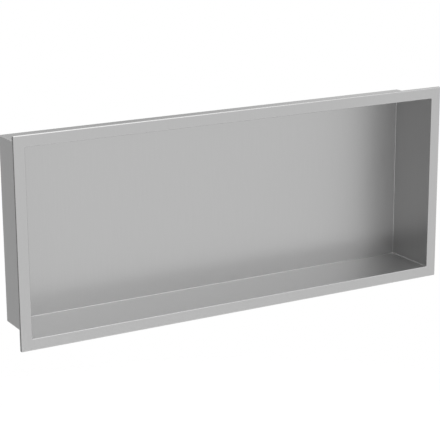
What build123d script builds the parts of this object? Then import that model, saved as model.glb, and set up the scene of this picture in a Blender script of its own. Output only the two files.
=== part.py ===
from build123d import *

import os

# A wall niche insert folded from one stainless sheet: a shallow box that is open to the room, with a
# flange round its mouth that covers the cut edge of the tiles, and a lip round the flange that meets
# the wall.
# Millimetres. +X runs along the width, +Y into the wall and +Z up. The origin is the middle of the
# mouth, in the plane of the finished wall that the lip beds on.

# Clear inside of the niche, with the depth from the front of the flange
mouth_width = 750.0
mouth_height = 300.0
niche_depth = 100.0

# Sheet and its folds, with radii on the inner side of a fold. The sheet is grooved along the folds of
# the flange, which keeps their outer sides crisp.
sheet = 0.8
fold_radius = 0.8
crisp_fold_radius = 0.2

# Flange, from the mouth to its outer edge, and the depth of the lip from its front
flange_width = 19.0
lip_depth = 4.0

# Sizes that follow from those above
outer_fold_radius = fold_radius + sheet
outer_crisp_radius = crisp_fold_radius + sheet
rim_width = mouth_width + 2 * flange_width
rim_height = mouth_height + 2 * flange_width

wall_plane = Plane.XZ
face_plane = wall_plane.offset(lip_depth)

os.makedirs("parts", exist_ok=True)

with BuildPart() as niche_body:
    # Box: back panel and four walls, with the folds and the dressed corner seams rounded alike
    with BuildSketch(face_plane):
        Rectangle(mouth_width + 2 * sheet, mouth_height + 2 * sheet)
    extrude(amount=-niche_depth - sheet)
    back_panel = niche_body.faces().sort_by(Axis.Y)[-1]
    corner_seams = niche_body.edges().filter_by(Axis.Y)
    fillet(back_panel.edges() + corner_seams, radius=outer_fold_radius)
    mouth = niche_body.faces().sort_by(Axis.Y)[0]
    offset(amount=-sheet, openings=mouth)

    # Flange, folded outward from the walls at the mouth
    with BuildSketch(face_plane):
        Rectangle(rim_width, rim_height)
        RectangleRounded(mouth_width, mouth_height, fold_radius, mode=Mode.SUBTRACT)
    extrude(amount=-sheet)

    # Lip, folded back from the flange to the wall, with its four corners welded and dressed
    with BuildSketch(face_plane):
        Rectangle(rim_width, rim_height)
        Rectangle(rim_width - 2 * sheet, rim_height - 2 * sheet, mode=Mode.SUBTRACT)
    extrude(amount=-lip_depth)

    # Inner sides of the flange's folds and of the lip's corners
    flange_back = niche_body.faces().filter_by(Axis.Y).sort_by(Axis.Y)[1]
    lip_corners = niche_body.edges().filter_by(Axis.Y).group_by(SortBy.LENGTH)[0]
    fillet(flange_back.edges() + lip_corners, radius=crisp_fold_radius)

    # Outer sides of the same folds and corners
    flange_front = niche_body.faces().filter_by(Axis.Y).sort_by(Axis.Y)[0]
    rim_corners = niche_body.edges().filter_by(Axis.Y).group_by(SortBy.LENGTH)[1]
    fillet(flange_front.edges() + rim_corners, radius=outer_crisp_radius)

niche_body.part.label = "niche_body"
export_step(niche_body.part, "parts/niche_body.step")
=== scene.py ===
import math
from typing import NamedTuple

import bmesh
import bpy
from mathutils import Matrix, Vector


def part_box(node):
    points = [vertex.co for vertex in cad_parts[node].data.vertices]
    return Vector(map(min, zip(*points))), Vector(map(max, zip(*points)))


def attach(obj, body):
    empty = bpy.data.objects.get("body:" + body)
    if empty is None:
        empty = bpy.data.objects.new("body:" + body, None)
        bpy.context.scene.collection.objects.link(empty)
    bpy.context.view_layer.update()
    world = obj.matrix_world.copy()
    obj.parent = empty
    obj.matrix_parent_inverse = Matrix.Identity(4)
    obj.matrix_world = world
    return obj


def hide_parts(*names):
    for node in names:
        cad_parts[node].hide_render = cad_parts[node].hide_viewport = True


bl_info = {
    "name": "Stainless wall niche",
    "version": (1, 0, 0),
    "blender": (4, 5, 0),
    "location": "View3D > Sidebar > Niche",
    "description": "Folds a brushed stainless wall niche from one sheet, in a soft studio",
    "category": "Object",
}

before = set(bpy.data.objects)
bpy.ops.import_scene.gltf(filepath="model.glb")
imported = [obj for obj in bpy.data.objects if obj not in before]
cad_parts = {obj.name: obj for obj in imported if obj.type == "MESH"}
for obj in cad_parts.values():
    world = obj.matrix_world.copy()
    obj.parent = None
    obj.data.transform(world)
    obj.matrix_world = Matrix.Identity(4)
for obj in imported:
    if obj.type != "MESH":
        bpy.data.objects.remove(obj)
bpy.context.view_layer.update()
NODE = "niche_body"
RIM_LOW, RIM_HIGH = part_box(NODE)

# Places closer than this are the same place, in metres
TOUCH = 1e-5

# Edges that turn by less than this are shaded as round
ROUND_WITHIN = math.radians(35)

# Far enough to one side that all of the sheet lies the same way from there, in metres
FAR_ASIDE = 10

# Sockets of a Mix node that mixes vectors, several of which share a name
MIX_FACTOR, MIX_A, MIX_B = 0, 4, 5
MIX_RESULT = 1

# Where masks rise from 0 to 1: by the slant of the sheet, in metres behind the wall plane, and in shares
# of the floor's radius
LEVEL_SLANT = (0.4375, 0.5625)
FOLD_SLANT = (0.0, 0.125)
BEHIND_FLANGE = (0.001, 0.003)
FLOOR_FADE = (0.45, 0.95)

# Width of the camera's sensor, in millimetres
SENSOR_WIDTH = 36.0

# Straight sides of the round floor
FLOOR_SIDES = 96


class SoftPanel(NamedTuple):
    """A panel of the studio that adds soft light, or holds it back if its strength is below 0."""

    towards: tuple
    full_within: float
    gone_beyond: float
    strength: float


# Seen from the niche, with the half angles of each panel in degrees
PANELS = {
    "white_backdrop": SoftPanel((0.48, 0.84, -0.36), 20, 50, 0.33),
    "dark_slot_behind": SoftPanel((0.43, 0.88, 0.20), 1, 9, -0.85),
    "dark_left": SoftPanel((-1.00, 0.00, -0.25), 10, 45, -0.69),
    "dark_front_left": SoftPanel((-0.60, -0.70, 0.40), 15, 45, -0.73),
    "softbox": SoftPanel((0.00, -0.75, 0.66), 15, 45, 1.2),
}


class NicheSheetSettings(bpy.types.PropertyGroup):
    """Sizes of the folded sheet. The outside size comes from the frame."""

    flange_width: bpy.props.FloatProperty(
        name="Flange width",
        description="From the mouth of the niche to the outer edge of the flange",
        default=0.019,
        unit="LENGTH",
    )
    lip_depth: bpy.props.FloatProperty(
        name="Lip depth",
        description="From the front of the flange back to the wall",
        default=0.004,
        unit="LENGTH",
    )
    sheet: bpy.props.FloatProperty(
        name="Sheet",
        description="Thickness of the stainless sheet",
        default=0.0008,
        unit="LENGTH",
    )
    fold_radius: bpy.props.FloatProperty(
        name="Fold radius",
        description="Radius on the inner side of the folds of the box",
        default=0.0008,
        unit="LENGTH",
    )
    crisp_fold_radius: bpy.props.FloatProperty(
        name="Crisp fold radius",
        description="Radius on the inner side of the fold from the walls to the flange",
        default=0.0002,
        unit="LENGTH",
    )
    rim_fold_radius: bpy.props.FloatProperty(
        name="Rim fold radius",
        description="Radius on the outer side of the fold from the flange to the lip",
        default=0.002,
        unit="LENGTH",
    )
    fold_segments: bpy.props.IntProperty(
        name="Fold segments",
        description="Faces round a quarter turn of a fold",
        default=8,
        min=2,
    )


class StainlessSettings(bpy.types.PropertyGroup):
    """Finish of the brushed stainless sheet."""

    colour: bpy.props.FloatVectorProperty(
        name="Steel",
        description="Colour of the bare steel",
        default=(0.5, 0.5, 0.5),
        subtype="COLOR",
    )
    roughness: bpy.props.FloatProperty(
        name="Roughness",
        description="How far the satin finish spreads a reflection",
        default=0.33,
        subtype="FACTOR",
    )
    fold_roughness: bpy.props.FloatProperty(
        name="Fold roughness",
        description="Roughness along the folds, which the folding burnishes",
        default=0.12,
        subtype="FACTOR",
    )
    # Painted highlight: how much brighter the colour is painted along the folds of the box; their burnish
    # is the lower fold roughness
    fold_highlight: bpy.props.FloatProperty(
        name="Fold tone",
        description="How much brighter the burnished folds of the box are than the brushed steel",
        default=1.15,
    )
    brush_spread: bpy.props.FloatProperty(
        name="Brush spread",
        description="How much more a reflection spreads across the brush lines than along them",
        default=0.8,
        subtype="FACTOR",
    )
    brush_pitch: bpy.props.FloatProperty(
        name="Brush pitch",
        description="Distance from one brush line to the next",
        default=0.0005,
        unit="LENGTH",
    )
    brush_depth: bpy.props.FloatProperty(
        name="Brush depth",
        description="Depth of a brush line",
        default=0.000002,
        unit="LENGTH",
    )
    streak_pitch: bpy.props.FloatProperty(
        name="Streak pitch",
        description="Distance from one of the wider streaks among the brush lines to the next",
        default=0.002,
        unit="LENGTH",
    )
    brush_length: bpy.props.FloatProperty(
        name="Brush length",
        description="Length of a brush line",
        default=0.06,
        unit="LENGTH",
    )
    streak_tone: bpy.props.FloatProperty(
        name="Streak tone",
        description="How much the tone changes from streak to streak",
        default=0.06,
        subtype="FACTOR",
    )
    streak_roughness: bpy.props.FloatProperty(
        name="Streak roughness",
        description="How much the roughness changes from streak to streak",
        default=0.06,
        subtype="FACTOR",
    )
    cloud_width: bpy.props.FloatProperty(
        name="Cloud width",
        description="Width of the faint clouds that handling leaves on the steel",
        default=1 / 7,
        unit="LENGTH",
    )
    cloud_tone: bpy.props.FloatProperty(
        name="Cloud tone",
        description="How much the tone changes from cloud to cloud",
        default=0.03,
        subtype="FACTOR",
    )
    cloud_roughness: bpy.props.FloatProperty(
        name="Cloud roughness",
        description="How much the roughness changes from cloud to cloud",
        default=0.05,
        subtype="FACTOR",
    )


class StudioSettings(bpy.types.PropertyGroup):
    """Camera, soft light and floor."""

    azimuth: bpy.props.FloatProperty(
        name="Azimuth",
        description="How far the camera is turned about the vertical, from straight in front",
        default=math.radians(-29.69),
        subtype="ANGLE",
    )
    elevation: bpy.props.FloatProperty(
        name="Elevation",
        description="How far the camera looks down",
        default=math.radians(15.06),
        subtype="ANGLE",
    )
    roll: bpy.props.FloatProperty(
        name="Roll",
        description="How far the camera is turned about its own line of sight",
        default=math.radians(-0.338),
        subtype="ANGLE",
    )
    distance: bpy.props.FloatProperty(
        name="Distance",
        description="From the camera to the point it looks at",
        default=2.4675,
        unit="LENGTH",
    )
    aim: bpy.props.FloatVectorProperty(
        name="Aim",
        description="Point in the plane of the flange's front that the camera looks at",
        default=(-0.0435, RIM_LOW.y, -0.0073),
        subtype="TRANSLATION",
        unit="LENGTH",
    )
    lens: bpy.props.FloatProperty(
        name="Lens",
        description="Focal length on a 36 mm sensor, in millimetres",
        default=125.47,
    )
    light_level: bpy.props.FloatProperty(
        name="Light level",
        description="Mean strength of the soft light from all round",
        default=0.86,
    )
    light_slope: bpy.props.FloatVectorProperty(
        name="Light slope",
        description="How much stronger the light is from the right, from behind and from above",
        default=(0.01, -0.20, 0.12),
        subtype="DIRECTION",
    )
    floor_drop: bpy.props.FloatProperty(
        name="Floor drop",
        description="From the lower edge of the flange down to the floor",
        default=0.6,
        unit="LENGTH",
    )
    floor_radius: bpy.props.FloatProperty(
        name="Floor radius",
        description="Radius at which the floor has faded into the surroundings",
        default=1.5,
        unit="LENGTH",
    )
    floor_lift: bpy.props.FloatProperty(
        name="Floor lift",
        description="What the lit floor lacks to white, added for the camera and for reflections",
        default=0.15,
    )
    floor_colour: bpy.props.FloatVectorProperty(
        name="Floor",
        description="Colour of the floor",
        default=(0.88, 0.88, 0.88),
        subtype="COLOR",
    )
    floor_roughness: bpy.props.FloatProperty(
        name="Floor roughness",
        description="Mean roughness of the floor",
        default=0.7,
        subtype="FACTOR",
    )
    floor_mottle: bpy.props.FloatProperty(
        name="Floor mottle",
        description="How much the roughness changes over the floor",
        default=0.1,
        subtype="FACTOR",
    )
    mottle_width: bpy.props.FloatProperty(
        name="Mottle width",
        description="Width of the patches over which the floor's roughness changes",
        default=1 / 3,
        unit="LENGTH",
    )


class Value:
    """A number socket of a node tree. Arithmetic on it adds Math nodes."""

    def __init__(self, tree, socket):
        self.tree = tree
        self.socket = socket

    def math(self, operation, *terms, clamp=False):
        settings = {"operation": operation, "use_clamp": clamp}
        return self.tree.value(self.tree.node("ShaderNodeMath", settings, dict(enumerate(terms))))

    def __add__(self, other):
        return self.math("ADD", self, other)

    __radd__ = __add__

    def __sub__(self, other):
        return self.math("SUBTRACT", self, other)

    def __rsub__(self, other):
        return self.math("SUBTRACT", other, self)

    def __mul__(self, other):
        return self.math("MULTIPLY", self, other)

    __rmul__ = __mul__

    def __truediv__(self, other):
        return self.math("DIVIDE", self, other)

    def __rtruediv__(self, other):
        return self.math("DIVIDE", other, self)

    def __abs__(self):
        return self.math("ABSOLUTE", self)

    def rising(self, low, high):
        """A mask that rises from 0 where this value is low to 1 where it is high."""
        return self.math("MULTIPLY", self - low, 1 / (high - low), clamp=True)

    def largest(self, *others):
        most = self
        for other in others:
            most = self.math("MAXIMUM", most, other)
        return most


class NodeTree:
    """Adds nodes to one material or world."""

    def __init__(self, owner):
        owner.use_nodes = True
        self.nodes = owner.node_tree.nodes
        self.links = owner.node_tree.links
        self.nodes.clear()

    def node(self, kind, settings=None, sockets=None):
        """Adds a node: its settings first, then a value or a link for each socket, by name or number."""
        made = self.nodes.new(kind)
        for key, setting in (settings or {}).items():
            setattr(made, key, setting)
        for key, given in (sockets or {}).items():
            if isinstance(given, Value):
                self.links.new(given.socket, made.inputs[key])
            elif isinstance(given, bpy.types.NodeSocket):
                self.links.new(given, made.inputs[key])
            else:
                made.inputs[key].default_value = given
        return made

    def value(self, node, output=0):
        return Value(self, node.outputs[output])

    def noise(self, place, scale):
        """Noise that lies about 0, with as many features to a unit of the place as the scale says."""
        return self.value(self.node("ShaderNodeTexNoise", None, {"Vector": place, "Scale": scale})) - 0.5


def deselect_all():
    if bpy.context.mode != "OBJECT":
        bpy.ops.object.mode_set(mode="OBJECT")
    bpy.ops.object.select_all(action="DESELECT")


def select_vertices(piece, test):
    """In edit mode, selects the vertices that pass the test."""
    bpy.ops.mesh.select_mode(type="VERT")
    bpy.ops.mesh.select_all(action="DESELECT")
    mesh = bmesh.from_edit_mesh(piece.data)
    for vertex in mesh.verts:
        if test(vertex):
            vertex.select_set(True)
    mesh.select_flush_mode()
    bmesh.update_edit_mesh(piece.data)


def select_edges(piece, test):
    """In edit mode, selects the edges whose two ends pass the test together."""
    bpy.ops.mesh.select_mode(type="EDGE")
    bpy.ops.mesh.select_all(action="DESELECT")
    mesh = bmesh.from_edit_mesh(piece.data)
    for edge in mesh.edges:
        if test(edge.verts[0].co, edge.verts[1].co):
            edge.select_set(True)
    bmesh.update_edit_mesh(piece.data)


def select_faces(piece, test):
    """In edit mode, selects the faces that pass the test."""
    bpy.ops.mesh.select_mode(type="FACE")
    bpy.ops.mesh.select_all(action="DESELECT")
    mesh = bmesh.from_edit_mesh(piece.data)
    for face in mesh.faces:
        if test(face):
            face.select_set(True)
    bmesh.update_edit_mesh(piece.data)


def select_open_edges(piece):
    bpy.ops.mesh.select_mode(type="EDGE")
    bpy.ops.mesh.select_all(action="DESELECT")
    mesh = bmesh.from_edit_mesh(piece.data)
    for edge in mesh.edges:
        if edge.is_boundary:
            edge.select_set(True)
    bmesh.update_edit_mesh(piece.data)


def extrude_open_edge(piece):
    """Extrudes the open edge of the sheet in place, and leaves the new edge selected."""
    select_open_edges(piece)
    bpy.ops.mesh.extrude_edges_move(TRANSFORM_OT_translate={"value": (0.0, 0.0, 0.0)})


def near(a, b):
    return abs(a - b) < TOUCH


def fold_sheet(sizes):
    """Models the visible side of the sheet, then gives it its thickness."""
    front = RIM_LOW.y
    back = RIM_HIGH.y - sizes.sheet
    rim = Vector((RIM_HIGH.x, front, RIM_HIGH.z))
    mouth = Vector((rim.x - sizes.flange_width, front, rim.z - sizes.flange_width))
    outer_crisp_radius = sizes.crisp_fold_radius + sizes.sheet

    def round_edges(test, radius):
        select_edges(piece, test)
        bpy.ops.mesh.bevel(
            offset=radius, segments=sizes.fold_segments, profile=0.5, affect="EDGES", clamp_overlap=False
        )

    # Box: back panel and four walls, open at the mouth
    deselect_all()
    bpy.ops.mesh.primitive_cube_add(size=1, location=(0, (front + back) / 2, 0))
    piece = bpy.context.object
    piece.name = "niche_sheet"
    piece.data.name = "niche_sheet"
    bpy.ops.transform.resize(value=(2 * mouth.x, back - front, 2 * mouth.z))
    bpy.ops.object.transform_apply(location=True, rotation=True, scale=True)
    bpy.ops.object.mode_set(mode="EDIT")
    select_faces(piece, lambda face: near(face.calc_center_median().y, front))
    bpy.ops.mesh.delete(type="ONLY_FACE")
    bpy.ops.mesh.select_all(action="SELECT")
    bpy.ops.mesh.flip_normals()

    # Folds round the back panel and the dressed corner seams
    round_edges(lambda a, b: not (near(a.y, front) and near(b.y, front)), sizes.fold_radius)

    # Flange, folded outward from the walls: a strip round the mouth for its fold, with round corners like
    # those of the box, and from there to square outer corners
    def select_open_corner(x_side, z_side):
        def in_corner(vertex):
            return vertex.is_boundary and vertex.co.x * x_side > 0 and vertex.co.z * z_side > 0

        select_vertices(piece, in_corner)

    corners = [(x_side, z_side) for x_side in (-1, 1) for z_side in (-1, 1)]
    fold_strip = 2 * outer_crisp_radius
    growth = 1 + fold_strip / sizes.fold_radius
    extrude_open_edge(piece)
    for x_side, z_side in corners:
        select_open_corner(x_side, z_side)
        middle = (x_side * (mouth.x - sizes.fold_radius), front, z_side * (mouth.z - sizes.fold_radius))
        bpy.ops.transform.resize(value=(growth, 1, growth), center_override=middle)
    extrude_open_edge(piece)
    for x_side, z_side in corners:
        select_open_corner(x_side, z_side)
        bpy.ops.mesh.merge(type="CENTER")
        select_open_corner(x_side, z_side)
        mesh = bmesh.from_edit_mesh(piece.data)
        merged = next(vertex.co.copy() for vertex in mesh.verts if vertex.select)
        bpy.ops.transform.translate(value=Vector((x_side * rim.x, front, z_side * rim.z)) - merged)

    # Lip, folded back from the flange to the wall
    extrude_open_edge(piece)
    bpy.ops.transform.translate(value=(0, sizes.lip_depth, 0))

    # Crisp fold at the mouth, and the fold along the rim with the corners of the lip
    def in_mouth(place):
        within = abs(place.x) < mouth.x + TOUCH and abs(place.z) < mouth.z + TOUCH
        return within and near(place.y, front)

    def on_rim(place):
        return near(abs(place.x), rim.x) or near(abs(place.z), rim.z)

    def on_lip(a, b):
        return on_rim(a) and on_rim(b) and (near(a.y, front) or near(b.y, front))

    round_edges(lambda a, b: in_mouth(a) and in_mouth(b), outer_crisp_radius)
    round_edges(on_lip, sizes.rim_fold_radius)

    # The visible side faces the room, so the thickness goes to the wall's side
    bpy.ops.mesh.select_all(action="SELECT")
    bpy.ops.mesh.remove_doubles(threshold=TOUCH)
    bpy.ops.mesh.normals_make_consistent(inside=False)
    mesh = bmesh.from_edit_mesh(piece.data)
    panel = max(mesh.faces, key=lambda face: face.calc_area())
    if panel.normal.y > 0:
        bpy.ops.mesh.flip_normals()
    bpy.ops.object.mode_set(mode="OBJECT")

    thickness = piece.modifiers.new("thickness", "SOLIDIFY")
    thickness.thickness = sizes.sheet
    thickness.offset = -1
    thickness.use_even_offset = True
    bpy.ops.object.modifier_apply(modifier=thickness.name)
    bpy.ops.object.shade_smooth_by_angle(angle=ROUND_WITHIN)
    normals = piece.modifiers.new("flat_panels", "WEIGHTED_NORMAL")
    normals.keep_sharp = True
    bpy.ops.object.modifier_apply(modifier=normals.name)

    # The brush spread is laid round the middle of the texture space. With that far to one side, a
    # reflection spreads along the width on back panel and flange, and to the back on floor, top and sides.
    piece.data.use_auto_texspace = False
    piece.data.texspace_location = (FAR_ASIDE, (front + back) / 2, 0)
    return piece


def brushed_stainless(finish):
    """Satin stainless. Its brush lines are upright, and run along the width on floor and top."""
    material = bpy.data.materials.new("satin_stainless")
    tree = NodeTree(material)
    place = tree.node("ShaderNodeTexCoord")
    facing = tree.node("ShaderNodeSeparateXYZ", None, {0: place.outputs["Normal"]})
    sideways = abs(tree.value(facing, "X"))
    outward = abs(tree.value(facing, "Y"))
    upward = abs(tree.value(facing, "Z"))
    into_wall = tree.value(tree.node("ShaderNodeSeparateXYZ", None, {0: place.outputs["Object"]}), "Y")

    # Masks: floor and top, all folds by their slant, and the folds of the box, which lie behind the flange
    # and get a painted highlight
    level_wall = upward.rising(*LEVEL_SLANT)
    fold = (1 - sideways.largest(outward, upward)).rising(*FOLD_SLANT)
    highlight_folds = fold * into_wall.rising(*BEHIND_FLANGE)

    def lines(pitch):
        fine, long = 1 / pitch, 1 / finish.brush_length
        upright, level = [
            tree.node(
                "ShaderNodeVectorMath",
                {"operation": "MULTIPLY"},
                {0: place.outputs["Object"], 1: stretch},
            )
            for stretch in ((fine, fine, long), (long, fine, fine))
        ]
        where = tree.node(
            "ShaderNodeMix",
            {"data_type": "VECTOR"},
            {MIX_FACTOR: level_wall, MIX_A: upright.outputs[0], MIX_B: level.outputs[0]},
        )
        return tree.noise(where.outputs[MIX_RESULT], 1.0)

    brush = lines(finish.brush_pitch)
    streak = lines(finish.streak_pitch)
    cloud = tree.noise(place.outputs["Object"], 1 / finish.cloud_width)
    worn = 1 + streak * finish.streak_tone + cloud * finish.cloud_tone
    # Real streaks and clouds, times a painted highlight along the folds of the box
    tone = worn * (1 + highlight_folds * (finish.fold_highlight - 1))
    satin = finish.roughness + streak * finish.streak_roughness + cloud * finish.cloud_roughness
    roughness = satin + fold * (finish.fold_roughness - satin)
    steel = tree.node(
        "ShaderNodeVectorMath", {"operation": "SCALE"}, {0: tuple(finish.colour), "Scale": tone}
    )

    grooves = tree.node("ShaderNodeBump", None, {"Distance": finish.brush_depth, "Height": brush})
    surface = tree.node(
        "ShaderNodeBsdfPrincipled",
        None,
        {
            "Base Color": steel.outputs[0],
            "Metallic": 1.0,
            "Roughness": roughness,
            "Anisotropic": finish.brush_spread,
            "Normal": grooves.outputs[0],
        },
    )
    tree.node("ShaderNodeOutputMaterial", None, {0: surface.outputs[0]})
    return material


def pale_floor(studio):
    """Pale floor that looks white where it is lit, and fades into the surroundings away from the niche."""
    material = bpy.data.materials.new("pale_floor")
    tree = NodeTree(material)
    place = tree.node("ShaderNodeTexCoord").outputs["Object"]
    away = tree.node("ShaderNodeVectorMath", {"operation": "LENGTH"}, {0: place})
    reach = tree.value(away, "Value") / studio.floor_radius
    fade = reach.rising(*FLOOR_FADE)
    mottle = tree.noise(place, 1 / studio.mottle_width)
    rays = tree.node("ShaderNodeLightPath")
    seen = tree.value(rays, "Is Camera Ray") + tree.value(rays, "Is Glossy Ray")
    glow = tree.node("ShaderNodeCombineColor", None, dict.fromkeys(range(3), seen * studio.floor_lift))
    floor = tree.node(
        "ShaderNodeBsdfPrincipled",
        None,
        {
            "Base Color": (*studio.floor_colour, 1),
            "Roughness": studio.floor_roughness + mottle * studio.floor_mottle,
            "Emission Color": glow.outputs[0],
            "Emission Strength": 1.0,
        },
    )
    clear = tree.node("ShaderNodeBsdfTransparent")
    mixed = tree.node("ShaderNodeMixShader", None, {0: fade, 1: floor.outputs[0], 2: clear.outputs[0]})
    tree.node("ShaderNodeOutputMaterial", None, {0: mixed.outputs[0]})
    return material


def soft_surroundings(level, slope):
    """Light from all round that changes evenly with direction, and the soft panels in it."""
    world = bpy.data.worlds.new("soft_studio")
    tree = NodeTree(world)
    direction = tree.node("ShaderNodeTexCoord").outputs["Generated"]

    def along(axis):
        settings, terms = {"operation": "DOT_PRODUCT"}, {0: direction, 1: tuple(axis)}
        return tree.value(tree.node("ShaderNodeVectorMath", settings, terms), "Value")

    strength = along(slope) + level
    for panel in PANELS.values():
        share = tree.node(
            "ShaderNodeMapRange",
            {"interpolation_type": "SMOOTHSTEP"},
            {
                "Value": along(Vector(panel.towards).normalized()),
                "From Min": math.cos(math.radians(panel.gone_beyond)),
                "From Max": math.cos(math.radians(panel.full_within)),
            },
        )
        strength = strength + tree.value(share) * panel.strength

    # To the camera all of the surroundings are as white as the backdrop is to the steel
    seen = tree.value(tree.node("ShaderNodeLightPath"), "Is Camera Ray")
    strength = strength + seen * (1 - strength)
    background = tree.node("ShaderNodeBackground", None, {"Color": (1, 1, 1, 1), "Strength": strength})
    tree.node("ShaderNodeOutputWorld", None, {0: background.outputs[0]})
    bpy.context.scene.world = world


class NICHE_OT_sheet(bpy.types.Operator):
    """Fold the niche from one sheet and give it its brushed finish"""

    bl_idname = "niche.sheet"
    bl_label = "Folded sheet"

    def execute(self, context):
        piece = fold_sheet(context.scene.niche_sheet)
        piece.data.materials.append(brushed_stainless(context.scene.niche_finish))
        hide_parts(NODE)
        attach(piece, "root")
        return {"FINISHED"}


class NICHE_OT_studio(bpy.types.Operator):
    """Set up the floor, the soft light and the camera"""

    bl_idname = "niche.studio"
    bl_label = "Studio"

    def execute(self, context):
        studio = context.scene.niche_studio
        deselect_all()
        floor_height = RIM_LOW.z - studio.floor_drop
        bpy.ops.mesh.primitive_circle_add(
            vertices=FLOOR_SIDES,
            radius=studio.floor_radius,
            fill_type="NGON",
            location=(0, 0, floor_height),
        )
        floor = context.object
        floor.name = "floor"
        floor.data.materials.append(pale_floor(studio))
        soft_surroundings(studio.light_level, studio.light_slope)

        camera = bpy.data.objects.new("camera", bpy.data.cameras.new("camera"))
        context.scene.collection.objects.link(camera)
        camera.data.lens = studio.lens
        camera.data.sensor_width = SENSOR_WIDTH
        tilt = math.pi / 2 - studio.elevation
        level = Matrix.Rotation(studio.azimuth, 4, "Z") @ Matrix.Rotation(tilt, 4, "X")
        turn = level @ Matrix.Rotation(studio.roll, 4, "Z")
        away = turn @ Vector((0, 0, studio.distance))
        camera.matrix_world = Matrix.Translation(Vector(studio.aim) + away) @ turn
        context.scene.camera = camera
        context.scene.view_settings.view_transform = "Standard"
        return {"FINISHED"}


class NICHE_PT_sidebar(bpy.types.Panel):
    """Lists the sizes, the finish, the studio and the buttons that make them"""

    bl_idname = "NICHE_PT_sidebar"
    bl_label = "Wall niche"
    bl_space_type = "VIEW_3D"
    bl_region_type = "UI"
    bl_category = "Niche"

    def draw(self, context):
        groups = (
            (context.scene.niche_sheet, None),
            (context.scene.niche_finish, NICHE_OT_sheet.bl_idname),
            (context.scene.niche_studio, NICHE_OT_studio.bl_idname),
        )
        for settings, button in groups:
            box = self.layout.box()
            for name in settings.__annotations__:
                box.prop(settings, name)
            if button:
                box.operator(button)


CLASSES = (
    NicheSheetSettings,
    StainlessSettings,
    StudioSettings,
    NICHE_OT_sheet,
    NICHE_OT_studio,
    NICHE_PT_sidebar,
)


def register():
    for cls in CLASSES:
        bpy.utils.register_class(cls)
    bpy.types.Scene.niche_sheet = bpy.props.PointerProperty(type=NicheSheetSettings)
    bpy.types.Scene.niche_finish = bpy.props.PointerProperty(type=StainlessSettings)
    bpy.types.Scene.niche_studio = bpy.props.PointerProperty(type=StudioSettings)


def unregister():
    del bpy.types.Scene.niche_studio
    del bpy.types.Scene.niche_finish
    del bpy.types.Scene.niche_sheet
    for cls in reversed(CLASSES):
        bpy.utils.unregister_class(cls)


def main():
    register()
    bpy.ops.niche.sheet()
    bpy.ops.niche.studio()


if __name__ == "__main__":
    main()
